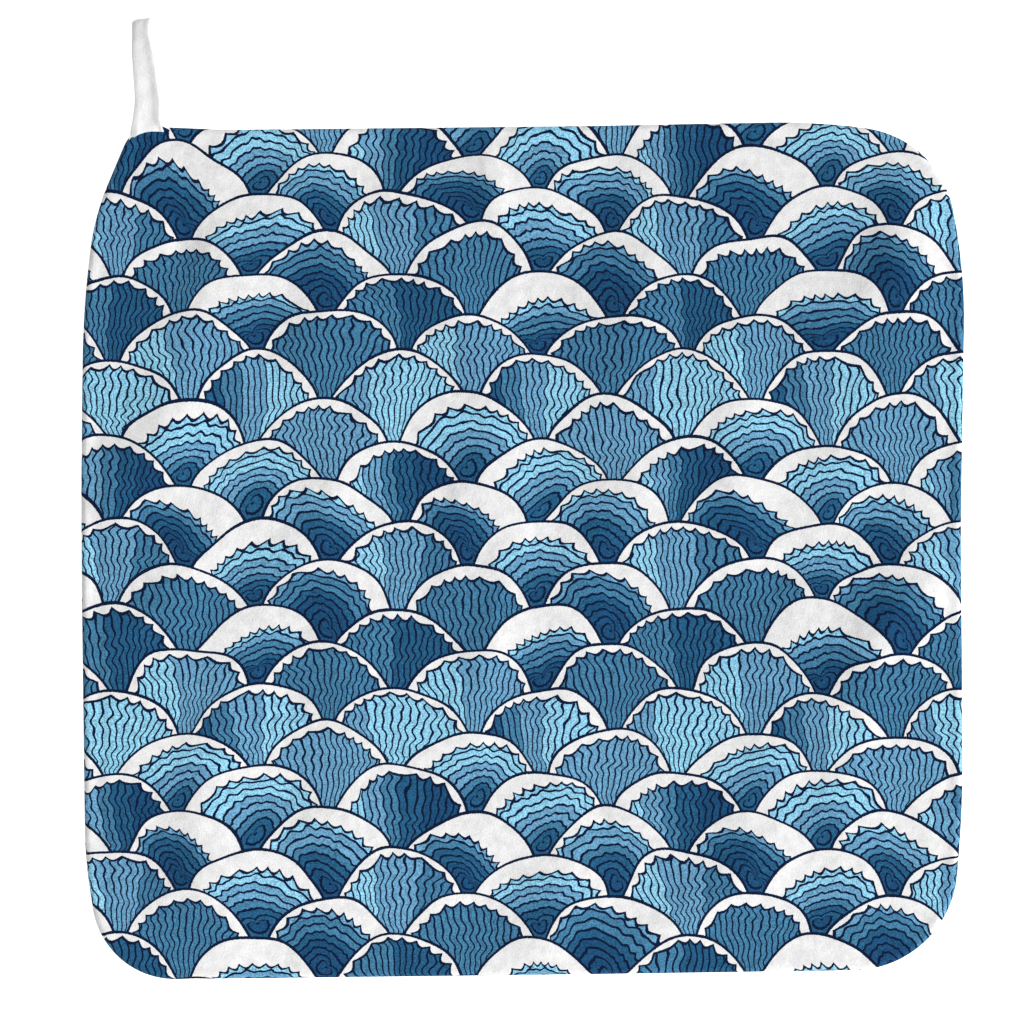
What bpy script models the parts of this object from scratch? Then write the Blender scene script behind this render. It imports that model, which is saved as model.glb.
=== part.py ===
"""Square plush hand towel lying flat, face up, with a tape loop sewn into one corner."""

import math
from collections import namedtuple

import bmesh
import bpy
from mathutils import Vector

MM = 0.001

# Towel body: two layers of short plush, sewn round and turned, so it is one thick sheet
CLOTH_THICKNESS = 3.4 * MM
EDGE_ROUNDING = 1.4 * MM
EDGE_ROUNDING_STEPS = 2
RIM_ANGLE = math.radians(60)
GRID_CELLS = 40
ARC_STEP = math.radians(4)

# Outline from above, in millimetres: straight runs between corners, each rounded by an arc
Corner = namedtuple("Corner", "name x y radius")
OUTLINE = (
    Corner("loop corner", -132.0, 126.1, 10.7),
    Corner("top dip", -100.0, 124.7, 126.5),
    Corner("top middle", 21.1, 126.0, 389.4),
    Corner("top rise", 99.8, 127.5, 204.0),
    Corner("top right", 140.9, 121.9, 34.7),
    Corner("right upper", 149.7, 77.0, 180.2),
    Corner("right dip", 148.3, -9.4, 333.6),
    Corner("right lower", 149.0, -103.1, 383.6),
    Corner("bottom right", 144.5, -159.2, 35.5),
    Corner("bottom middle", 16.4, -161.1, 500.8),
    Corner("bottom left", -141.8, -163.0, 28.3),
    Corner("left low", -148.0, -121.8, 149.8),
    Corner("left middle", -149.6, 2.3, 2404.6),
    Corner("left upper", -148.6, 66.0, 328.9),
    Corner("left shoulder", -144.8, 95.8, 82.8),
)

# The square grid is stretched to the outline from this point, which lies on the
# diagonal of the loop corner, so that a corner of the grid falls on that corner
STRETCH_CENTRE = (5.3, -11.2)

# Soft ridges where the cloth stands off the table, in millimetres and degrees
Ridge = namedtuple("Ridge", "x y heading length width rise")
RIDGES = (
    Ridge(-96.0, 66.0, 58.0, 58.0, 17.0, 1.5),
    Ridge(-34.0, 96.0, 8.0, 60.0, 14.0, 1.0),
    Ridge(44.0, 58.0, -40.0, 56.0, 17.0, 1.3),
    Ridge(126.0, 70.0, 82.0, 52.0, 13.0, 1.5),
    Ridge(-72.0, -40.0, -22.0, 62.0, 18.0, 1.3),
    Ridge(28.0, -24.0, 30.0, 54.0, 16.0, 1.1),
    Ridge(116.0, -62.0, 64.0, 60.0, 16.0, 1.4),
    Ridge(-104.0, -128.0, 20.0, 50.0, 15.0, 1.2),
    Ridge(18.0, -122.0, -14.0, 66.0, 16.0, 1.2),
)
# Rises lower than this have settled onto the table
SETTLED_RISE = 0.35

# Hanging loop: a narrow tape folded back over itself, both ends at the loop corner
TAPE_THICKNESS = 1.3 * MM
TAPE_CELLS_ACROSS = 4
TAPE_CELLS_PER_SPAN = 5
SEAT_GAP = 0.3 * MM
SEAT_FADE = 9.0 * MM
DIRECTION_STEP = 0.05

# The towel's edge beside the loop, in millimetres up from the middle of the object
LOOP_EDGE = 124.9

# The tape's middle line, in millimetres: out from the towel's edge along the table, round
# the bend and back over. Reach is measured from the edge, x is its place along that edge
TapePoint = namedtuple("TapePoint", "reach x height width cup")
TAPE_ROUTE = (
    TapePoint(0.0, -126.2, 0.74, 8.0, 0.0),
    TapePoint(9.0, -126.4, 0.68, 7.9, 0.0),
    TapePoint(19.5, -126.7, 0.68, 7.6, 0.0),
    TapePoint(28.5, -127.1, 0.72, 7.2, 0.0),
    TapePoint(34.2, -127.5, 1.45, 6.8, 0.0),
    TapePoint(36.8, -127.9, 3.60, 6.5, 0.0),
    TapePoint(35.4, -128.4, 6.20, 6.5, 0.2),
    TapePoint(30.6, -128.7, 7.80, 6.6, 0.4),
    TapePoint(22.5, -128.6, 7.90, 6.9, 0.5),
    TapePoint(13.5, -128.4, 6.50, 7.4, 0.4),
    TapePoint(5.8, -128.3, 4.10, 7.9, 0.2),
    TapePoint(0.0, -128.3, 2.57, 8.2, 0.0),
)


def clear_scene():
    for item in list(bpy.data.objects):
        bpy.data.objects.remove(item, do_unlink=True)


def soft_material(name, colour, roughness):
    material = bpy.data.materials.new(name)
    material.use_nodes = True
    shader = material.node_tree.nodes["Principled BSDF"]
    shader.inputs["Base Color"].default_value = (*colour, 1.0)
    shader.inputs["Roughness"].default_value = roughness
    shader.inputs["Metallic"].default_value = 0.0
    return material


def rounded_outline(corners):
    """Points of a closed polygon whose corners are replaced by tangent arcs."""
    points = []
    for index, corner in enumerate(corners):
        here = Vector((corner.x, corner.y)) * MM
        before = corners[index - 1]
        after = corners[(index + 1) % len(corners)]
        to_before = (Vector((before.x, before.y)) * MM - here).normalized()
        to_after = (Vector((after.x, after.y)) * MM - here).normalized()
        half_angle = to_before.angle(to_after) / 2
        setback = corner.radius * MM / math.tan(half_angle)
        centre_distance = corner.radius * MM / math.sin(half_angle)
        centre = here + (to_before + to_after).normalized() * centre_distance
        start = here + to_before * setback - centre
        end = here + to_after * setback - centre
        turn = math.atan2(start.x * end.y - start.y * end.x, start.dot(end))
        steps = max(2, math.ceil(abs(turn) / ARC_STEP))
        for step in range(steps + 1):
            angle = turn * step / steps
            cosine, sine = math.cos(angle), math.sin(angle)
            arm = Vector((start.x * cosine - start.y * sine, start.x * sine + start.y * cosine))
            points.append(centre + arm)
    return points


def crossing(outline, origin, direction):
    """Distance from the origin, along a direction, to where the ray leaves the outline."""
    farthest = 0.0
    for index, start in enumerate(outline):
        side = outline[(index + 1) % len(outline)] - start
        spread = direction.x * side.y - direction.y * side.x
        if abs(spread) < 1e-12:
            continue
        offset = start - origin
        distance = (offset.x * side.y - offset.y * side.x) / spread
        along = (offset.x * direction.y - offset.y * direction.x) / spread
        if distance > 0 and 0 <= along <= 1:
            farthest = max(farthest, distance)
    return farthest


def ridge_height(x, y):
    """Sum of long soft humps, less the settled rise and never under the table."""
    total = 0.0
    for ridge in RIDGES:
        heading = math.radians(ridge.heading)
        dx = x / MM - ridge.x
        dy = y / MM - ridge.y
        along = dx * math.cos(heading) + dy * math.sin(heading)
        across = dy * math.cos(heading) - dx * math.sin(heading)
        total += ridge.rise * math.exp(-((along / ridge.length) ** 2) - (across / ridge.width) ** 2)
    return max(0.0, total - SETTLED_RISE) * MM


def object_from_bmesh(name, bm, material, collection):
    mesh = bpy.data.meshes.new(name)
    bm.to_mesh(mesh)
    bm.free()
    mesh.materials.append(material)
    mesh.shade_smooth()
    item = bpy.data.objects.new(name, mesh)
    collection.objects.link(item)
    return item


def make_towel(outline, collection):
    """A square grid stretched to the outline, lifted along the ridges and thickened."""
    bm = bmesh.new()
    bmesh.ops.create_grid(bm, x_segments=GRID_CELLS, y_segments=GRID_CELLS, size=1.0)
    centre = Vector(STRETCH_CENTRE) * MM
    for vertex in bm.verts:
        spot = Vector((vertex.co.x, vertex.co.y))
        ring = max(abs(spot.x), abs(spot.y))
        place = centre.copy()
        if ring > 1e-6:
            direction = spot.normalized()
            place += direction * crossing(outline, centre, direction) * ring
        vertex.co = (place.x, place.y, ridge_height(place.x, place.y))
    plush = soft_material("printed_plush", (0.09, 0.22, 0.36), 0.9)
    towel = object_from_bmesh("towel", bm, plush, collection)

    thicken = towel.modifiers.new("thickness", "SOLIDIFY")
    thicken.thickness = CLOTH_THICKNESS
    thicken.offset = 1.0

    rounding = towel.modifiers.new("rolled edge", "BEVEL")
    rounding.limit_method = "ANGLE"
    rounding.angle_limit = RIM_ANGLE
    rounding.width = EDGE_ROUNDING
    rounding.segments = EDGE_ROUNDING_STEPS
    return towel


def spline(before, start, end, after, share):
    """Catmull-Rom value between start and end."""
    return 0.5 * (
        2 * start
        + (end - before) * share
        + (2 * before - 5 * start + 4 * end - after) * share ** 2
        + (3 * start - before - 3 * end + after) * share ** 3
    )


def tape_state(position):
    """The tape's route read as a smooth curve, position counted in spans of the table."""
    last = len(TAPE_ROUTE) - 1
    span = min(int(position), last - 1)
    share = position - span
    rows = [TAPE_ROUTE[min(max(span + step, 0), last)] for step in (-1, 0, 1, 2)]
    return TapePoint(*(spline(*values, share) for values in zip(*rows)))


def tape_direction(position):
    """Unit vector along the tape, as (reach, height), from the route just before and after."""
    last = len(TAPE_ROUTE) - 1
    behind = tape_state(max(position - DIRECTION_STEP, 0))
    ahead = tape_state(min(position + DIRECTION_STEP, last))
    return Vector((ahead.reach - behind.reach, ahead.height - behind.height)).normalized()


def make_hanging_loop(outline, collection):
    """A narrow grid bent along the route, its two ends cut to the towel's edge."""
    spans = len(TAPE_ROUTE) - 1
    bm = bmesh.new()
    bmesh.ops.create_grid(
        bm, x_segments=TAPE_CELLS_ACROSS, y_segments=spans * TAPE_CELLS_PER_SPAN, size=1.0
    )
    for vertex in bm.verts:
        side = vertex.co.x
        position = (vertex.co.y + 1) / 2 * spans
        state = tape_state(position)
        direction = tape_direction(position)
        x = (state.x + side * state.width / 2) * MM
        edge_here = crossing(outline, Vector((x, 0.0)), Vector((0.0, 1.0)))
        edge_straight = LOOP_EDGE * MM
        fade = max(0.0, 1 - state.reach * MM / SEAT_FADE)
        seat = edge_straight + (edge_here - edge_straight) * fade * fade + SEAT_GAP
        droop = state.cup * side * side * MM
        y = seat + state.reach * MM + direction.y * droop
        z = state.height * MM - abs(direction.x) * droop
        vertex.co = (x, y, z)
    white_tape = soft_material("white_tape", (0.84, 0.84, 0.84), 0.85)
    tape = object_from_bmesh("hanging_loop", bm, white_tape, collection)

    thicken = tape.modifiers.new("tape thickness", "SOLIDIFY")
    thicken.thickness = TAPE_THICKNESS
    thicken.offset = 0.0
    return tape


def build():
    clear_scene()
    collection = bpy.data.collections.new("hand_towel")
    bpy.context.scene.collection.children.link(collection)
    outline = rounded_outline(OUTLINE)
    make_towel(outline, collection)
    make_hanging_loop(outline, collection)


build()
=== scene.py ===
import math

import bpy
import numpy as np
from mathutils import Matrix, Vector


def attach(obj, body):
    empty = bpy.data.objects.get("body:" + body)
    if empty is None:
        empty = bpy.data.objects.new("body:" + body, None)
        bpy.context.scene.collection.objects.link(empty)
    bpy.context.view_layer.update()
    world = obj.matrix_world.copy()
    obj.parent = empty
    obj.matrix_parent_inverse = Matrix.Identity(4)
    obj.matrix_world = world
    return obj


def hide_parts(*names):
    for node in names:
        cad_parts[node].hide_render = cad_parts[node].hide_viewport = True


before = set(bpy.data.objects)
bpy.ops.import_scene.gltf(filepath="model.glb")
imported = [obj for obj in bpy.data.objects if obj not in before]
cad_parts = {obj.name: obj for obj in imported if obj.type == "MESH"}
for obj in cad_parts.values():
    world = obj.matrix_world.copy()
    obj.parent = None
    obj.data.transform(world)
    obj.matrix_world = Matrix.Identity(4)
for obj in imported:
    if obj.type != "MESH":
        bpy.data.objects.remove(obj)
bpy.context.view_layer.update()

mm = 0.001

# Outline of the towel from above, in millimetres: corners and the radius of each one's arc
towelOutline = {
    "loopCorner": (-132.0, 126.1, 10.7),
    "topDip": (-100.0, 124.7, 126.5),
    "topMiddle": (21.1, 126.0, 389.4),
    "topRise": (99.8, 127.5, 204.0),
    "topRight": (140.9, 121.9, 34.7),
    "rightUpper": (149.7, 77.0, 180.2),
    "rightDip": (148.3, -9.4, 333.6),
    "rightLower": (149.0, -103.1, 383.6),
    "bottomRight": (144.5, -159.2, 35.5),
    "bottomMiddle": (16.4, -161.1, 500.8),
    "bottomLeft": (-141.8, -163.0, 28.3),
    "leftLow": (-148.0, -121.8, 149.8),
    "leftMiddle": (-149.6, 2.3, 2404.6),
    "leftUpper": (-148.6, 66.0, 328.9),
    "leftShoulder": (-144.8, 95.8, 82.8),
}

# The two layers of plush, sewn round and turned (millimetres)
towelCloth = {
    "cellsAcross": 196,
    "stretchCentre": (5.3, -11.2),
    "thickness": 3.5,
    "seamHeight": 1.55,
    "rollWidth": 2.5,
    "pileOver": 0.25,  # how far the pile stands past the measured outline
    "rollShare": 0.085,  # share of the grid's rings that go round the rolled edge
    "rollArc": 0.9,  # length of cloth round the edge for each radian, over the roll's width
    "arcStep": math.radians(1.5),
    "arcPointsLeast": 3,
    "settledRise": 0.35,  # ridges lower than this have settled onto the table
    "mapShare": 0.87,  # share of the texture map's height that the upper face fills
    "mapGap": 0.02,
    "mapMargin": 0.002,
}

# Long soft ridges where the cloth stands off the table: x, y, heading, length, width, rise
tableRidges = np.array([
    (-96.0, 66.0, 58.0, 58.0, 17.0, 1.5),
    (-34.0, 96.0, 8.0, 60.0, 14.0, 1.0),
    (44.0, 58.0, -40.0, 56.0, 17.0, 1.3),
    (126.0, 70.0, 82.0, 52.0, 13.0, 1.5),
    (-72.0, -40.0, -22.0, 62.0, 18.0, 1.3),
    (28.0, -24.0, 30.0, 54.0, 16.0, 1.1),
    (116.0, -62.0, 64.0, 60.0, 16.0, 1.4),
    (-104.0, -128.0, 20.0, 50.0, 15.0, 1.2),
    (18.0, -122.0, -14.0, 66.0, 16.0, 1.2),
])

# Soft folds of the upper layer: puffs, and hollows between them, one near each point of a
# square lattice. Each is moved, turned and sized at random between these limits
plushFolds = {
    "seed": 4, "across": 6, "up": 6, "spacing": 46.0, "jitter": 15.0, "centre": (0.0, -18.0),
    "headings": (30.0, 120.0), "lengths": (18.0, 48.0), "widths": (7.0, 12.0),
    "puffRises": (0.7, 1.6), "hollowRises": (-1.2, -0.5), "hollowShare": 0.25,
}

# Narrow creases near the hem: a trough has a negative rise
hemCreases = np.array([
    (-141.0, 104.0, 66.0, 15.0, 2.2, -0.35),
    (-118.0, -159.3, -9.0, 14.0, 0.5, -0.3),
    (-60.0, 119.0, -3.0, 20.0, 2.4, -0.3),
    (60.0, 121.5, 2.0, 24.0, 2.6, -0.3),
])

# Relief of the cloth in millimetres. Insets are measured inwards from the towel's edge
towelDetail = {
    "foldShare": 1.15, "foldFrom": 1.0, "foldOver": 7.0,
    "puckerRise": 0.22, "puckerSpacing": 8.0, "puckerReach": 9.0, "puckerFrom": 2.0, "puckerSeed": 8,
    "grooveDepth": 0.38, "grooveInset": 5.3, "grooveSlope": 2.3, "grooveFloor": 0.4,
    "grooveMean": 0.65, "grooveSwing": 0.55, "grooveSpacing": 31.0, "grooveSeed": 11,
    "grooveRight": 0.22, "grooveLeft": 0.22, "grooveTop": 0.25, "grooveTopShift": -0.6,
    "sideFrom": 72.0, "sideOver": 60.0, "topFrom": 108.0, "topOver": 10.0, "evenOnRight": 0.75,
    "hemSwell": 0.16, "hemInset": 2.1, "hemWidth": 1.4,
    "seamPinch": 0.35, "seamPinchWidth": 0.3,
    "seamWave": 0.12, "seamWaveSpacing": 14.0, "seamWaveSeed": 14,
    "hillRise": 0.3, "hillSpacing": 15.0, "hillSeed": 3,
    "lumpRise": 0.12, "lumpSpacing": 6.0, "lumpSeed": 5,
}

# Soft noise: cells on a side of its lattice, and where on the lattice the origin falls
noiseLattice = {"cells": 96, "startX": 31.7, "startY": 29.3}


def softNoise(x, y, spacing, seed):
    # Random heights at the points of a square lattice, blended with a smooth step between them
    cells = noiseLattice["cells"]
    lattice = np.random.default_rng(seed).uniform(-1, 1, (cells, cells))
    gridX = x / spacing + noiseLattice["startX"]
    gridY = y / spacing + noiseLattice["startY"]
    column, row = np.floor(gridX).astype(int), np.floor(gridY).astype(int)
    shareX, shareY = gridX - column, gridY - row
    shareX = shareX * shareX * (3 - 2 * shareX)
    shareY = shareY * shareY * (3 - 2 * shareY)
    column, row = column % (cells - 1), row % (cells - 1)
    low = lattice[row, column] * (1 - shareX) + lattice[row, column + 1] * shareX
    high = lattice[row + 1, column] * (1 - shareX) + lattice[row + 1, column + 1] * shareX
    return low * (1 - shareY) + high * shareY


def edgeNoise(travel, spacing, seed):
    # The same noise along a line, the way round the towel's edge
    return softNoise(travel, travel * 0, spacing, seed)


def longHumps(x, y, table):
    # Sum of rise times a bell of the distance along and across each hump's own heading
    total = np.zeros_like(x)
    for humpX, humpY, heading, length, width, rise in table:
        cosine, sine = math.cos(math.radians(heading)), math.sin(math.radians(heading))
        along = (x - humpX) * cosine + (y - humpY) * sine
        across = (y - humpY) * cosine - (x - humpX) * sine
        total += rise * np.exp(-(along / length) ** 2 - (across / width) ** 2)
    return total


def scatteredFolds(folds):
    # One row for each point of the lattice: x, y, heading, length, width and rise. The place
    # is the point plus a random shift, and each of the rest is drawn evenly from its limits
    draw = np.random.default_rng(folds["seed"])
    columns = (np.arange(folds["across"]) - (folds["across"] - 1) / 2) * folds["spacing"]
    rows = (np.arange(folds["up"]) - (folds["up"] - 1) / 2) * folds["spacing"]
    x, y = [axis.ravel() for axis in np.meshgrid(columns, rows)]
    x = x + folds["centre"][0] + draw.uniform(-1, 1, x.size) * folds["jitter"]
    y = y + folds["centre"][1] + draw.uniform(-1, 1, y.size) * folds["jitter"]
    heading, length, width, puff, hollow = [
        draw.uniform(*folds[key], x.size)
        for key in ("headings", "lengths", "widths", "puffRises", "hollowRises")
    ]
    rise = np.where(draw.uniform(0, 1, x.size) < folds["hollowShare"], hollow, puff)
    return np.stack([x, y, heading, length, width, rise], 1)


def roundedOutline():
    # A closed polygon whose corners are replaced by arcs that touch both sides
    corners = list(towelOutline.values())
    points = []
    spots = [np.array(corner[:2]) for corner in corners]
    for index, (here, corner) in enumerate(zip(spots, corners)):
        toBefore = spots[index - 1] - here
        toAfter = spots[(index + 1) % len(spots)] - here
        toBefore = toBefore / np.linalg.norm(toBefore)
        toAfter = toAfter / np.linalg.norm(toAfter)
        halfAngle = math.acos(float(toBefore @ toAfter)) / 2
        middle = (toBefore + toAfter) / np.linalg.norm(toBefore + toAfter)
        centre = here + middle * corner[2] / math.sin(halfAngle)
        start = here + toBefore * corner[2] / math.tan(halfAngle) - centre
        end = here + toAfter * corner[2] / math.tan(halfAngle) - centre
        turn = math.atan2(start[0] * end[1] - start[1] * end[0], float(start @ end))
        count = math.ceil(abs(turn) / towelCloth["arcStep"]) + 1
        angles = np.linspace(0, turn, max(towelCloth["arcPointsLeast"], count))
        cosine, sine = np.cos(angles), np.sin(angles)
        armX = start[0] * cosine - start[1] * sine
        armY = start[0] * sine + start[1] * cosine
        points.append(centre + np.stack([armX, armY], 1))
    return np.concatenate(points)


def outlineCrossing(outline, centre, directions):
    # Each ray from the centre is cut with each side as two straight lines. The results are
    # its length to the outline, how squarely it meets the edge there, and how far round the
    # outline that point lies
    sides = np.roll(outline, -1, 0) - outline
    lengths = np.linalg.norm(sides, axis=1)
    keep = lengths > 1e-6
    starts, sides, lengths = outline[keep], sides[keep], lengths[keep]
    walked = np.concatenate([[0], np.cumsum(lengths)[:-1]])
    reach = np.zeros(len(directions))
    square = np.ones(len(directions))
    travel = np.zeros(len(directions))
    for start, side, length, before in zip(starts - centre, sides, lengths, walked):
        spread = directions[:, 0] * side[1] - directions[:, 1] * side[0]
        spread = np.where(np.abs(spread) < 1e-9, 1e-9, spread)
        distance = (start[0] * side[1] - start[1] * side[0]) / spread
        along = (start[0] * directions[:, 1] - start[1] * directions[:, 0]) / spread
        hit = (distance > reach) & (along >= 0) & (along <= 1)
        reach = np.where(hit, distance, reach)
        square = np.where(hit, np.abs(spread) / length, square)
        travel = np.where(hit, before + along * length, travel)
    return reach, square, travel


def gridFaces(rows, columns):
    # Quads of a grid of points numbered row by row
    corner = np.arange(rows - 1)[:, None] * columns + np.arange(columns - 1)[None, :]
    around = [corner, corner + 1, corner + columns + 1, corner + columns]
    return np.stack(around, -1).reshape(-1, 4)


def meshPiece(name, points, faces, material):
    # Points in millimetres; faces are whole arrays of quads
    mesh = bpy.data.meshes.new(name)
    mesh.vertices.add(len(points))
    mesh.vertices.foreach_set("co", (np.asarray(points) * mm).astype(np.float32).ravel())
    mesh.loops.add(faces.size)
    mesh.loops.foreach_set("vertex_index", faces.astype(np.int32).ravel())
    mesh.polygons.add(len(faces))
    mesh.polygons.foreach_set("loop_start", np.arange(0, faces.size, 4, dtype=np.int32))
    mesh.polygons.foreach_set("use_smooth", np.ones(len(faces), dtype=bool))
    mesh.update(calc_edges=True)
    mesh.validate()
    mesh.materials.append(material)
    piece = bpy.data.objects.new(name, mesh)
    bpy.context.scene.collection.objects.link(piece)
    return piece


def clothRelief(detail, x, y, inset, travel):
    # Sum of the cloth's hills, lumps, puckers, swelling hem, folds and creases, less the
    # groove beside the hem
    hills = detail["hillRise"] * softNoise(x, y, detail["hillSpacing"], detail["hillSeed"])
    hills += detail["lumpRise"] * softNoise(x, y, detail["lumpSpacing"], detail["lumpSeed"])
    puckers = detail["puckerRise"] * edgeNoise(travel, detail["puckerSpacing"], detail["puckerSeed"])
    puckers *= np.exp(-inset / detail["puckerReach"]) * np.clip(inset / detail["puckerFrom"], 0, 1)

    # The groove falls off on both sides with the distance from its floor; it comes and goes
    # along the edge, least of all on the right, and is deeper on the right, left and top
    onRight = np.clip((x - detail["sideFrom"]) / detail["sideOver"], 0, 1)
    onLeft = np.clip((-x - detail["sideFrom"]) / detail["sideOver"], 0, 1)
    onTop = np.clip((y - detail["topFrom"]) / detail["topOver"], 0, 1)
    noise = edgeNoise(travel, detail["grooveSpacing"], detail["grooveSeed"])
    uneven = detail["grooveMean"] + detail["grooveSwing"] * noise
    even = detail["evenOnRight"] + (1 - detail["evenOnRight"]) * uneven
    groove = detail["grooveDepth"] * (uneven * (1 - onRight) + even * onRight)
    groove += detail["grooveRight"] * onRight + detail["grooveLeft"] * onLeft
    groove += detail["grooveTop"] * onTop
    floorInset = detail["grooveInset"] + detail["grooveTopShift"] * onTop
    fromFloor = np.hypot(inset - floorInset, detail["grooveFloor"])
    groove *= np.exp(-fromFloor / detail["grooveSlope"])

    swell = detail["hemSwell"] * np.exp(-((inset - detail["hemInset"]) / detail["hemWidth"]) ** 2)
    folds = detail["foldShare"] * longHumps(x, y, scatteredFolds(plushFolds))
    folds *= np.clip((inset - detail["foldFrom"]) / detail["foldOver"], 0, 1)
    return hills + puckers - groove + swell + folds + longHumps(x, y, hemCreases)


def towelSurface(cloth, detail):
    # Two parameters from -1 to 1 span a square grid. Its rings are stretched to the outline;
    # the outer rings follow a quarter ellipse down to the seam. The upper and lower layers
    # share the ring at the seam.
    count = cloth["cellsAcross"] + 1
    across, up = np.meshgrid(np.linspace(-1, 1, count), np.linspace(-1, 1, count))
    across, up = across.ravel(), up.ravel()
    ring = np.maximum(np.abs(across), np.abs(up))
    size = np.maximum(np.hypot(across, up), 1e-9)
    directions = np.stack([across / size, up / size], 1)
    centre = np.array(cloth["stretchCentre"])
    reach, square, travel = outlineCrossing(roundedOutline(), centre, directions)
    reach += cloth["pileOver"] / square

    rollStart = 1 - cloth["rollShare"]
    rollAlong = cloth["rollWidth"] / square
    bend = np.clip((ring - rollStart) / cloth["rollShare"], 0, 1) * math.pi / 2
    flatPart = (reach - rollAlong) * np.minimum(ring / rollStart, 1)
    flatReach = flatPart + rollAlong * bend * cloth["rollArc"]
    printPlace = centre + directions * flatReach[:, None]
    distance = flatPart + rollAlong * np.sin(bend)
    pinchShare = np.exp(-((math.pi / 2 - bend) / detail["seamPinchWidth"]) ** 2)
    distance -= detail["seamPinch"] * pinchShare / square
    x = centre[0] + directions[:, 0] * distance
    y = centre[1] + directions[:, 1] * distance
    inset = (reach - distance) * square

    lift = np.maximum(0, longHumps(x, y, tableRidges) - cloth["settledRise"])
    relief = clothRelief(detail, x, y, inset, travel)
    seam = cloth["seamHeight"]
    seamWave = edgeNoise(travel, detail["seamWaveSpacing"], detail["seamWaveSeed"])
    seamWave *= detail["seamWave"]
    top = lift + seam + seamWave + (cloth["thickness"] - seam - seamWave + relief) * np.cos(bend)
    under = lift + (seam + seamWave) * (1 - np.cos(bend))

    upper = np.stack([x, y, top], 1)
    lower = np.stack([x, y, under], 1)
    inner = ring < 1 - 1e-9  # all but the ring at the seam
    lowerIndex = np.arange(count * count)
    lowerIndex[inner] = count * count + np.arange(inner.sum())
    faces = gridFaces(count, count)
    lowerFaces = lowerIndex[faces][:, ::-1]
    points = np.concatenate([upper, lower[inner]])
    printShare = np.concatenate([np.where(inner, 1.0, 0.5), np.zeros(inner.sum())])
    printPlace = np.concatenate([printPlace, printPlace[inner]])
    printPlace = np.column_stack([printPlace, printShare])

    # The bake's map: the upper face in the upper part, the lower face in a strip under it
    spread = np.stack([across, up], 1) * 0.5 + 0.5
    spread = np.concatenate([spread, spread[inner]])
    upperMap = spread[faces.ravel()] * (1.0, cloth["mapShare"]) + (0.0, 1 - cloth["mapShare"])
    lowerMap = spread[lowerFaces.ravel()] * (1.0, 1 - cloth["mapGap"] - cloth["mapShare"])
    maps = np.concatenate([upperMap, lowerMap]) * (1 - 2 * cloth["mapMargin"]) + cloth["mapMargin"]
    return points, np.concatenate([faces, lowerFaces]), printPlace, maps


def feed(tree, slot, value):
    # A number or colour goes on the slot itself, and a socket is linked to it
    if isinstance(value, bpy.types.NodeSocket):
        tree.links.new(value, slot)
    else:
        slot.default_value = value


class Wire:
    # A number in a node tree, so that a pattern can be written as plain sums
    def __init__(self, tree, socket):
        self.tree, self.socket = tree, socket

    def maths(self, operation, *others):
        node = self.tree.nodes.new("ShaderNodeMath")
        node.operation = operation
        for slot, value in zip(node.inputs, (self, *others)):
            feed(self.tree, slot, value.socket if isinstance(value, Wire) else value)
        return Wire(self.tree, node.outputs[0])

    def __add__(self, other):
        return self.maths("ADD", other)

    def __sub__(self, other):
        return self.maths("SUBTRACT", other)

    def __mul__(self, other):
        return self.maths("MULTIPLY", other)

    def __truediv__(self, other):
        return self.maths("DIVIDE", other)

    def __lt__(self, other):
        return self.maths("LESS_THAN", other)

    def __gt__(self, other):
        return self.maths("GREATER_THAN", other)

    def choose(self, whenTrue, whenFalse):
        # whenFalse + self * (whenTrue - whenFalse)
        return (whenTrue - whenFalse) * self + whenFalse


def linear(red, green, blue):
    # A colour of 0 to 255 as the display shows it, as the linear values that nodes hold
    values = np.array([red, green, blue]) / 255
    values = np.where(values <= 0.04045, values / 12.92, ((values + 0.055) / 1.055) ** 2.4)
    return (*[float(value) for value in values], 1.0)


# The print: overlapping wave scales, a traditional pattern, in millimetres. Drift and fuzz
# shift the pattern by up to so much either way
wavePrint = {
    "radius": 24.0, "rowStep": 14.0, "originX": 6.0, "originY": -3.0,
    "bandPitch": 2.75, "strandPitch": 2.8, "lineWidth": 0.76, "outlineWidth": 0.92,
    "foamLeast": 1.4, "foamMost": 9.9, "foamLean": 2.4,
    "lobeRise": 1.5, "lobes": 13.0, "lobeSwing": 6.0,
    "strandShare": 0.6, "fan": 0.7, "fanDepth": 1.2, "countFrom": 40.0, "bandTurn": 0.8,
    "drift": 7.0, "driftSpacing": 40.0, "fuzz": 0.16, "fuzzSpacing": 0.5,
    "waveRise": 1.0, "longWave": 8.2, "shortWave": 5.1, "longShare": 0.6, "shortShare": 0.4,
    "phaseSwing": 9.0, "phaseSpacing": 15.0, "phaseRange": 20.0,
    "strandTone": 0.22, "strandToneStep": 0.16, "bandToneStep": 0.13, "toneRange": 0.6,
    "repeatAcross": 2.0, "repeatUp": 8.0,
}
# Its colours, and the tones at which one blue gives way to the next
printColours = {
    "white": (230, 230, 230),
    "line": (10, 26, 57),
    "tones": [(140, 200, 228), (104, 158, 193), (67, 122, 157), (36, 89, 126), (28, 75, 114)],
    "stops": (0.37, 0.58, 0.78, 1.12),
}


def noiseWire(tree, vector, spacing, detail, output="Fac"):
    # Noise with lumps about so many millimetres apart, as one number or a colour of three
    node = tree.nodes.new("ShaderNodeTexNoise")
    node.inputs["Scale"].default_value = 1 / spacing
    node.inputs["Detail"].default_value = detail
    tree.links.new(vector, node.inputs["Vector"])
    return node.outputs[output]


def splitVector(tree, vector):
    # The three numbers of a vector or colour
    node = tree.nodes.new("ShaderNodeSeparateXYZ")
    tree.links.new(vector, node.inputs[0])
    return [Wire(tree, output) for output in node.outputs]


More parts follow.
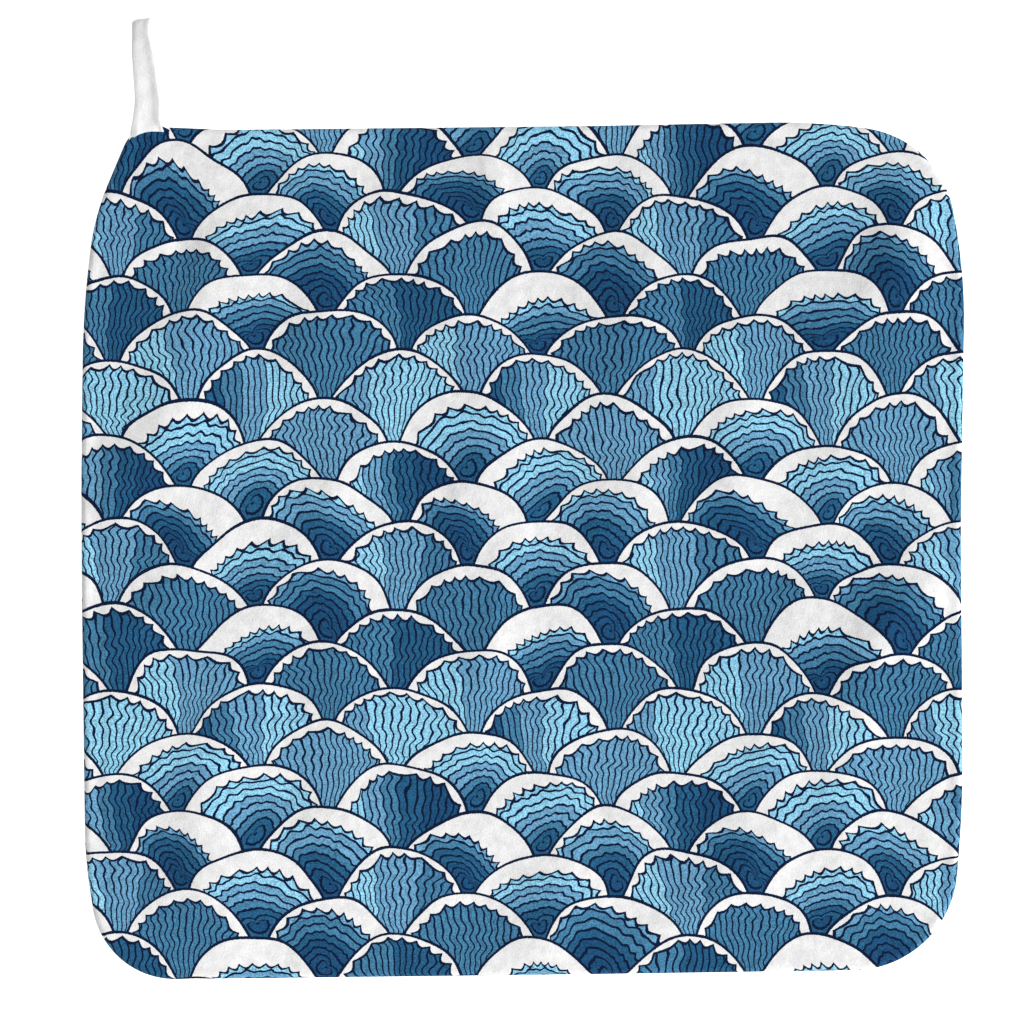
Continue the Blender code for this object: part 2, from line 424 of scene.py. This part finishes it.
def millimetrePosition(tree):
    # Object coordinates in millimetres
    coordinates = tree.nodes.new("ShaderNodeTexCoord")
    scale = tree.nodes.new("ShaderNodeVectorMath")
    scale.operation = "SCALE"
    scale.inputs["Scale"].default_value = 1 / mm
    tree.links.new(coordinates.outputs["Object"], scale.inputs[0])
    return scale.outputs[0]


def scaleRow(x, y, rowUp, offset, pattern):
    # The scale of one row that is nearest to a point: its place in the row and the
    # point's distance from its centre
    row = rowUp + offset
    shift = row.maths("FLOORED_MODULO", 2.0) * pattern["radius"]
    place = ((x - shift) / (2 * pattern["radius"])).maths("ROUND")
    fromX = x - shift - place * (2 * pattern["radius"])
    fromY = y - row * pattern["rowStep"]
    distance = (fromX * fromX + fromY * fromY).maths("SQRT")
    return {"x": fromX, "y": fromY, "distance": distance, "place": place, "row": row}


def waveScales(tree, position, pattern, colours):
    # Circles stand in rows half a radius apart, each row shifted by a radius; the lowest
    # circle that holds a point lies in front. Inside it the distance from its rim gives
    # the foam, the bands and the lines between them.
    x, y, _ = splitVector(tree, position)
    for key in ("drift", "fuzz"):
        noise = splitVector(tree, noiseWire(tree, position, pattern[key + "Spacing"], 1.0, "Color"))
        x = x + (noise[0] - 0.5) * pattern[key] * 2
        y = y + (noise[1] - 0.5) * pattern[key] * 2
    x = x - pattern["originX"]
    y = y - pattern["originY"]
    rowUp = (y / pattern["rowStep"]).maths("FLOOR")
    front, middle, back = [scaleRow(x, y, rowUp, offset, pattern) for offset in (-1.0, 0.0, 1.0)]
    inMiddle = middle["distance"] < pattern["radius"]
    inFront = front["distance"] < pattern["radius"]
    scale = {
        key: inFront.choose(front[key], inMiddle.choose(middle[key], back[key])) for key in front
    }

    # Chances of a scale come from its place in a repeat of so many scales and rows
    cell = tree.nodes.new("ShaderNodeCombineXYZ")
    repeatPlace = scale["place"].maths("FLOORED_MODULO", pattern["repeatAcross"])
    repeatRow = scale["row"].maths("FLOORED_MODULO", pattern["repeatUp"])
    tree.links.new(repeatPlace.socket, cell.inputs[0])
    tree.links.new(repeatRow.socket, cell.inputs[1])
    chance = tree.nodes.new("ShaderNodeTexWhiteNoise")
    chance.noise_dimensions = "3D"
    tree.links.new(cell.outputs[0], chance.inputs["Vector"])
    foamChance, toneChance, leanChance = splitVector(tree, chance.outputs["Color"])
    strands = Wire(tree, chance.outputs["Value"]) < pattern["strandShare"]

    # The wiggle of the lines is a sum of two waves that run along them, so that
    # neighbouring lines stay side by side
    angle = scale["x"].maths("ARCTAN2", scale["y"])
    depth = scale["distance"] * -1.0 + pattern["radius"]
    swing = splitVector(tree, noiseWire(tree, position, pattern["phaseSpacing"], 0.0, "Color"))
    along = strands.choose(scale["y"], angle * (pattern["radius"] * pattern["bandTurn"]))
    phase = leanChance * pattern["phaseRange"]
    longWave = along * (2 * math.pi / pattern["longWave"]) + swing[0] * pattern["phaseSwing"] + phase
    shortWave = along * (2 * math.pi / pattern["shortWave"]) - swing[1] * pattern["phaseSwing"] + phase
    wiggle = longWave.maths("SINE") * pattern["longShare"]
    wiggle = wiggle + shortWave.maths("SINE") * pattern["shortShare"]
    everywhere = along * 0.0 + 1.0
    calm = strands.choose(everywhere, scale["distance"] / pattern["radius"])
    wiggle = wiggle * calm * pattern["waveRise"]

    lobeAngle = angle * pattern["lobes"] + swing[2] * pattern["lobeSwing"] + phase
    lobes = lobeAngle.maths("SINE").maths("ABSOLUTE") * (swing[0] + 0.5)
    lean = (angle + (leanChance - 0.5) * pattern["foamLean"]).maths("COSINE").maths("MAXIMUM", 0.0)
    foamRange = pattern["foamMost"] - pattern["foamLeast"]
    foamDepth = foamChance * foamChance * lean * foamRange + pattern["foamLeast"]
    pastFoam = depth - foamDepth - lobes * pattern["lobeRise"]
    bands = (depth + wiggle - foamDepth) / pattern["bandPitch"]
    # Strands fan out from a point below the scale, which the scales in front cover
    fanDepth = pattern["radius"] * pattern["fanDepth"]
    fanAngle = scale["x"].maths("ARCTAN2", scale["y"] + fanDepth)
    fanReach = (pattern["radius"] + fanDepth) * pattern["fan"]
    fan = scale["x"] * (1 - pattern["fan"]) + fanAngle * fanReach
    strandCount = (fan + wiggle) / pattern["strandPitch"] + pattern["countFrom"]
    bandCount = bands + pattern["countFrom"]
    intoBand = strands.choose(strandCount, bandCount).maths("FRACT") * pattern["bandPitch"]
    onBandLine = (intoBand < pattern["lineWidth"]) * (pastFoam > 0.0)
    onFoamLine = (pastFoam > 0.0) * (pastFoam < pattern["outlineWidth"])
    onOutline = depth < pattern["outlineWidth"]
    onLine = onBandLine.maths("MAXIMUM", onFoamLine).maths("MAXIMUM", onOutline)

    # Each band or strand has one blue: the tone grows with its number and the scale's chance
    strandNumber = strandCount.maths("FLOOR") - pattern["countFrom"]
    strandTone = strandNumber * (leanChance - 0.5) * pattern["strandToneStep"] + pattern["strandTone"]
    bandTone = bands.maths("FLOOR") * pattern["bandToneStep"]
    tone = strands.choose(strandTone, bandTone) + toneChance * pattern["toneRange"]
    ramp = tree.nodes.new("ShaderNodeValToRGB")
    ramp.color_ramp.interpolation = "CONSTANT"
    stops = ramp.color_ramp.elements
    stops[0].position = 0.0
    stops[0].color = linear(*colours["tones"][0])
    stops[1].position = colours["stops"][0]
    stops[1].color = linear(*colours["tones"][1])
    for place, tint in zip(colours["stops"][1:], colours["tones"][2:]):
        stops.new(place).color = linear(*tint)
    tree.links.new(tone.socket, ramp.inputs[0])

    colour = mixColour(tree, pastFoam < 0.0, ramp.outputs[0], linear(*colours["white"]))
    return mixColour(tree, onLine, colour, linear(*colours["line"])), pastFoam > 0.0


def mixColour(tree, share, first, second, blend="MIX"):
    # first where the share is 0, second where it is 1, or the two multiplied
    node = tree.nodes.new("ShaderNodeMix")
    node.data_type = "RGBA"
    node.blend_type = blend
    slots = [socket for socket in node.inputs if socket.type == "RGBA"]
    feed(tree, slots[0], first)
    feed(tree, slots[1], second)
    feed(tree, node.inputs[0], share.socket if isinstance(share, Wire) else share)
    return [socket for socket in node.outputs if socket.type == "RGBA"][0]


# Short plush pile: grain of the fibre tips and larger patches where the pile leans
plushPile = {
    "grainSpacing": 0.5, "grainHeight": 0.22, "patchSpacing": 3.8, "patchHeight": 0.5,
    "noiseDetail": 2.0, "bumpStrength": 0.6, "printShade": 0.99,
    "grainShade": 0.42, "patchShade": 0.36, "dyedGrain": 2.0,
    "sheen": 0.05, "sheenRoughness": 0.5, "roughness": 0.95, "specular": 0.06,
    "tapeShade": 0.16, "whiteCloth": (240, 240, 240),
}


def plushMaterial(name, printed):
    # White cloth, printed or plain. Its colour is multiplied by a shade that follows the grain
    # and the patches, and both raise the bump
    material = bpy.data.materials.new(name)
    material.use_nodes = True
    tree = material.node_tree
    shader = tree.nodes["Principled BSDF"]
    shader.inputs["Roughness"].default_value = plushPile["roughness"]
    shader.inputs["Specular IOR Level"].default_value = plushPile["specular"]
    shader.inputs["Sheen Weight"].default_value = plushPile["sheen"]
    shader.inputs["Sheen Roughness"].default_value = plushPile["sheenRoughness"]
    position = millimetrePosition(tree)
    detail = plushPile["noiseDetail"]
    grain = Wire(tree, noiseWire(tree, position, plushPile["grainSpacing"], detail))
    patch = Wire(tree, noiseWire(tree, position, plushPile["patchSpacing"], detail))

    height = grain * plushPile["grainHeight"] + patch * plushPile["patchHeight"]
    bump = tree.nodes.new("ShaderNodeBump")
    bump.inputs["Distance"].default_value = mm
    bump.inputs["Strength"].default_value = plushPile["bumpStrength"]
    tree.links.new(height.socket, bump.inputs["Height"])
    tree.links.new(bump.outputs[0], shader.inputs["Normal"])

    colour = linear(*plushPile["whiteCloth"])
    if printed:
        # printPlace holds x and y of the flat cloth, and 1 on the printed side, 0 under it
        place = tree.nodes.new("ShaderNodeAttribute")
        place.attribute_name = "printPlace"
        pattern, dyed = waveScales(tree, place.outputs["Vector"], wavePrint, printColours)
        onPrint = splitVector(tree, place.outputs["Vector"])[2] > 0.5
        colour = mixColour(tree, onPrint, colour, pattern)
        grainShare = dyed * onPrint * plushPile["dyedGrain"] + plushPile["grainShade"]
        shade = (grain - 0.5) * grainShare + (patch - 0.5) * plushPile["patchShade"]
        shade = shade + plushPile["printShade"]
    else:
        shade = (grain - 0.5) * plushPile["tapeShade"] + (patch - 0.5) * plushPile["tapeShade"] + 1.0
    tint = tree.nodes.new("ShaderNodeCombineColor")
    for socket in tint.inputs:
        tree.links.new(shade.socket, socket)
    shaded = mixColour(tree, 1.0, colour, tint.outputs[0], "MULTIPLY")
    tree.links.new(shaded, shader.inputs["Base Color"])
    return material


def makeTowel():
    # The cloth, its place on the flat print, and its map for the bake
    points, faces, printPlace, maps = towelSurface(towelCloth, towelDetail)
    piece = meshPiece("towelCloth", points, faces, plushMaterial("printedPlush", True))
    place = piece.data.attributes.new("printPlace", "FLOAT_VECTOR", "POINT")
    place.data.foreach_set("vector", printPlace.astype(np.float32).ravel())
    bakeMap = piece.data.uv_layers.new(name="OFBake")
    bakeMap.data.foreach_set("uv", maps.astype(np.float32).ravel())
    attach(piece, "root")
    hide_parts("towel")
    return piece


# The loop tape's middle line in millimetres, out along the table, round the bend and back
# over: reach from the towel's edge, x, height, width, tilt of the section in degrees (its
# right side up), where across it a soft fold runs, and how much the part past that stands up
loopTape = {
    "edge": 124.9, "edgeFade": 9.0, "tuck": 1.6,
    "thickness": 1.05, "puff": 0.22, "foldSoftness": 0.16, "leftDroop": 0.5, "leftFrom": 0.5,
    "sidePower": 0.6, "skinPower": 0.7,
    "route": np.array([
        (0.0, -125.3, 1.05, 8.6, -2.0, 0.3, 0.0),
        (5.0, -125.8, 1.10, 8.3, -3.0, 0.3, 0.0),
        (10.5, -126.5, 1.15, 7.8, -4.0, 0.3, 0.0),
        (19.5, -126.9, 1.20, 7.3, -5.0, 0.3, 0.0),
        (28.5, -127.2, 1.25, 7.2, -5.0, 0.3, 0.0),
        (34.2, -127.6, 1.70, 7.2, -4.0, 0.3, 0.0),
        (36.4, -128.0, 3.40, 7.2, 2.0, 0.2, 0.2),
        (35.4, -128.7, 5.10, 6.5, 8.0, 0.15, 0.6),
        (31.3, -128.7, 5.95, 6.2, 9.0, 0.2, 0.9),
        (24.5, -128.0, 6.25, 7.4, -1.0, 0.25, 1.7),
        (16.7, -127.2, 5.90, 8.0, 0.0, 0.3, 1.9),
        (9.6, -126.6, 4.90, 8.7, 1.0, 0.35, 2.4),
        (5.2, -127.0, 3.85, 9.1, 0.0, 0.35, 2.6),
        (2.4, -127.2, 3.10, 10.3, 0.0, 0.3, 2.2),
        (0.0, -127.3, 2.62, 12.0, 0.0, 0.3, 0.8),
    ]),
    "cellsAlong": 300, "cellsAround": 48, "edgeSamples": 24,
    "upperFrom": 2.5,
    "wrinkle": 0.1, "wrinkleSpacing": 3.4, "wrinkleSeed": 21,
    "gather": 0.65, "gatherSpacing": 1.7, "gatherReach": 5.0, "gatherStretch": 0.4, "gatherSeed": 23,
    "bendGather": 0.35, "bendReach": 35.0, "bendFade": 2.5,
}


def smoothRoute(route, count):
    # A smooth curve through the rows of the table: between two rows it is a cubic, and its
    # slope at a row is half the step from the row before to the row after
    last = len(route) - 1
    position = np.linspace(0, last, count)
    span = np.minimum(position.astype(int), last - 1)
    share = (position - span)[:, None]
    rows = [route[np.clip(span + step, 0, last)] for step in (-1, 0, 1, 2)]
    before, start, end, after = rows
    return 0.5 * (2 * start + (end - before) * share
                  + (2 * before - 5 * start + 4 * end - after) * share ** 2
                  + (3 * start - before - 3 * end + after) * share ** 3)


def loopSurface(tape):
    # A flat rounded section carried along the route. Round the section the side goes as a
    # cosine and the thickness as a sine, each drawn out towards a rounded rectangle. The
    # section turns with the tilt; past the fold line it bends up by a smoothed ramp, and its
    # left edge droops with the square of the distance.
    state = smoothRoute(tape["route"], tape["cellsAlong"] + 1)
    reach, middleX, height, width, tilt, fold, stand = [column[:, None] for column in state.T]
    directionY = np.gradient(reach[:, 0])
    directionZ = np.gradient(height[:, 0])
    length = np.hypot(directionY, directionZ)
    walked = np.cumsum(length)[:, None]
    directionY, directionZ = (directionY / length)[:, None], (directionZ / length)[:, None]
    around = np.linspace(0, 2 * math.pi, tape["cellsAround"], endpoint=False)[None, :]
    side = np.sign(np.cos(around)) * np.abs(np.cos(around)) ** tape["sidePower"]
    skin = np.sign(np.sin(around)) * np.abs(np.sin(around)) ** tape["skinPower"]
    half = tape["thickness"] / 2 + tape["puff"] * (1 - side ** 2)
    across = side * width / 2
    along = walked + side * 0
    wrinkle = softNoise(across, along, tape["wrinkleSpacing"], tape["wrinkleSeed"])
    wrinkle *= tape["wrinkle"]
    gather = softNoise(across, along * tape["gatherStretch"], tape["gatherSpacing"], tape["gatherSeed"])
    gather *= tape["gather"]
    nearBend = tape["bendGather"] * np.exp(-((reach - tape["bendReach"]) / tape["bendFade"]) ** 2)
    gather = np.abs(gather) * (np.exp(-np.maximum(reach, 0) / tape["gatherReach"]) + nearBend)
    past = side - fold
    ramp = 0.5 * (past + np.sqrt(past ** 2 + tape["foldSoftness"] ** 2))
    upperLeg = height > tape["upperFrom"]
    droop = tape["leftDroop"] * np.maximum(0, -side - tape["leftFrom"]) ** 2 * upperLeg
    # Wrinkles stand up on the face that shows: the outer one above, the inner one below
    shownFace = np.where(upperLeg, skin > 0, -1.0 * (skin < 0))
    offset = skin * half + stand * ramp - droop + (wrinkle + gather) * shownFace
    turn = np.radians(tilt)
    outwards = across * np.sin(turn) + offset * np.cos(turn)
    x = middleX + across * np.cos(turn) - offset * np.sin(turn)
    # Both ends follow the towel's edge and go into its seam
    outline = roundedOutline()
    ray = np.array([[0.0, 1.0]])
    spots = np.linspace(x.min() - 1, x.max() + 1, tape["edgeSamples"])
    edges = [outlineCrossing(outline, np.array([spot, 0.0]), ray)[0][0] for spot in spots]
    edgeHere = np.interp(x, spots, edges)
    fade = np.clip(1 - reach / tape["edgeFade"], 0, 1) ** 2
    seat = tape["edge"] + (edgeHere - tape["edge"]) * fade - tape["tuck"] * fade
    # The outer face of the loop is on the left of its direction of travel
    y = seat + reach + directionZ * outwards
    z = height - directionY * outwards
    return np.stack([x, y, z], -1)


def makeHangingLoop():
    # Rings of points joined by quads, and each end closed by quads from side to side
    rings = loopSurface(loopTape)
    along, around, _ = rings.shape
    points = rings.reshape(-1, 3)
    first = np.arange(along - 1)[:, None] * around
    step = np.arange(around)[None, :]
    following = (step + 1) % around
    corners = [first + step, first + following, first + around + following, first + around + step]
    faces = np.stack(corners, -1).reshape(-1, 4)
    half = around // 2
    walk = np.arange(half - 1)
    capStart = np.stack([walk, walk + 1, around - walk - 2, around - walk - 1], 1)
    capEnd = capStart[:, ::-1] + (along - 1) * around
    faces = np.concatenate([faces, capStart[:, ::-1], capEnd[:, ::-1]])
    piece = meshPiece("loopTape", points, faces, plushMaterial("whiteTape", False))
    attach(piece, "root")
    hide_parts("hanging_loop")
    return piece


# Table, light and camera. The floor's size and the lamps' places are in metres, the rest
# in millimetres and degrees
studio = {
    "floorSize": 8.0, "floorDrop": 0.05, "floorColour": (0.93, 0.93, 0.93), "floorGlow": 0.7,
    "skyStrength": 0.345, "white": (1.0, 1.0, 1.0, 1.0),
    "keyStrength": 3.2, "keySpread": 45.0, "keyBearing": -15.0, "keyFromVertical": 51.0,
    "fillPower": 0.64, "fillSize": 0.3, "fillPlace": (0.05, -0.5, 0.5), "fillTarget": (0, -0.1, 0),
    "pixelSize": 0.3386, "imagePixels": 1024, "photoCentre": (-3.6, -4.6), "lens": 100.0,
}


def makeFloor():
    # A pale square that glows a little, just under the towel
    half = studio["floorSize"] / 2 / mm
    corners = np.array([(-1, -1), (1, -1), (1, 1), (-1, 1)]) * half
    points = np.column_stack([corners, np.full(4, -studio["floorDrop"])])
    material = bpy.data.materials.new("paleFloor")
    material.use_nodes = True
    shader = material.node_tree.nodes["Principled BSDF"]
    shader.inputs["Base Color"].default_value = (*studio["floorColour"], 1.0)
    shader.inputs["Roughness"].default_value = 1.0
    shader.inputs["Specular IOR Level"].default_value = 0.0
    shader.inputs["Emission Color"].default_value = studio["white"]
    shader.inputs["Emission Strength"].default_value = studio["floorGlow"]
    floor = meshPiece("floor", points, np.array([[0, 1, 2, 3]]), material)


def turnFrom(target, lamp):
    # A lamp shines along its own -Z, so its +Z points away from the target
    lamp.rotation_euler = (lamp.location - Vector(target)).to_track_quat("Z", "Y").to_euler()
    bpy.context.scene.collection.objects.link(lamp)


def makeLights():
    # An even sky and a wide sun from the right
    world = bpy.data.worlds.new("sky")
    world.use_nodes = True
    sky = world.node_tree.nodes["Background"]
    sky.inputs["Color"].default_value = studio["white"]
    sky.inputs["Strength"].default_value = studio["skyStrength"]
    bpy.context.scene.world = world
    key = bpy.data.lights.new("key", "SUN")
    key.energy = studio["keyStrength"]
    key.angle = math.radians(studio["keySpread"])
    bearing = math.radians(studio["keyBearing"])
    slant = math.radians(studio["keyFromVertical"])
    level = math.sin(slant)
    keyLamp = bpy.data.objects.new("key", key)
    keyLamp.location = (math.cos(bearing) * level, math.sin(bearing) * level, math.cos(slant))
    turnFrom((0, 0, 0), keyLamp)

    # A weak lamp past the towel's lower edge makes the light fall off towards the top
    fill = bpy.data.lights.new("fill", "AREA")
    fill.energy = studio["fillPower"]
    fill.size = studio["fillSize"]
    fillLamp = bpy.data.objects.new("fill", fill)
    fillLamp.location = studio["fillPlace"]
    turnFrom(studio["fillTarget"], fillLamp)


def makeCamera():
    # Straight down, at the height from which the photo's width at the seam fills the frame
    camera = bpy.data.cameras.new("camera")
    camera.lens = studio["lens"]
    viewWidth = studio["pixelSize"] * studio["imagePixels"] * mm
    height = towelCloth["seamHeight"] * mm + viewWidth * camera.lens / camera.sensor_width
    centreX, centreY = studio["photoCentre"]
    eye = bpy.data.objects.new("camera", camera)
    eye.location = (centreX * mm, centreY * mm, height)
    bpy.context.scene.collection.objects.link(eye)
    bpy.context.scene.camera = eye


bpy.context.scene.view_settings.view_transform = "Standard"
makeCamera()
makeLights()
makeFloor()
print("camera, light and floor made")
towel = makeTowel()
print("towel made")
loop = makeHangingLoop()
print("hanging loop made")
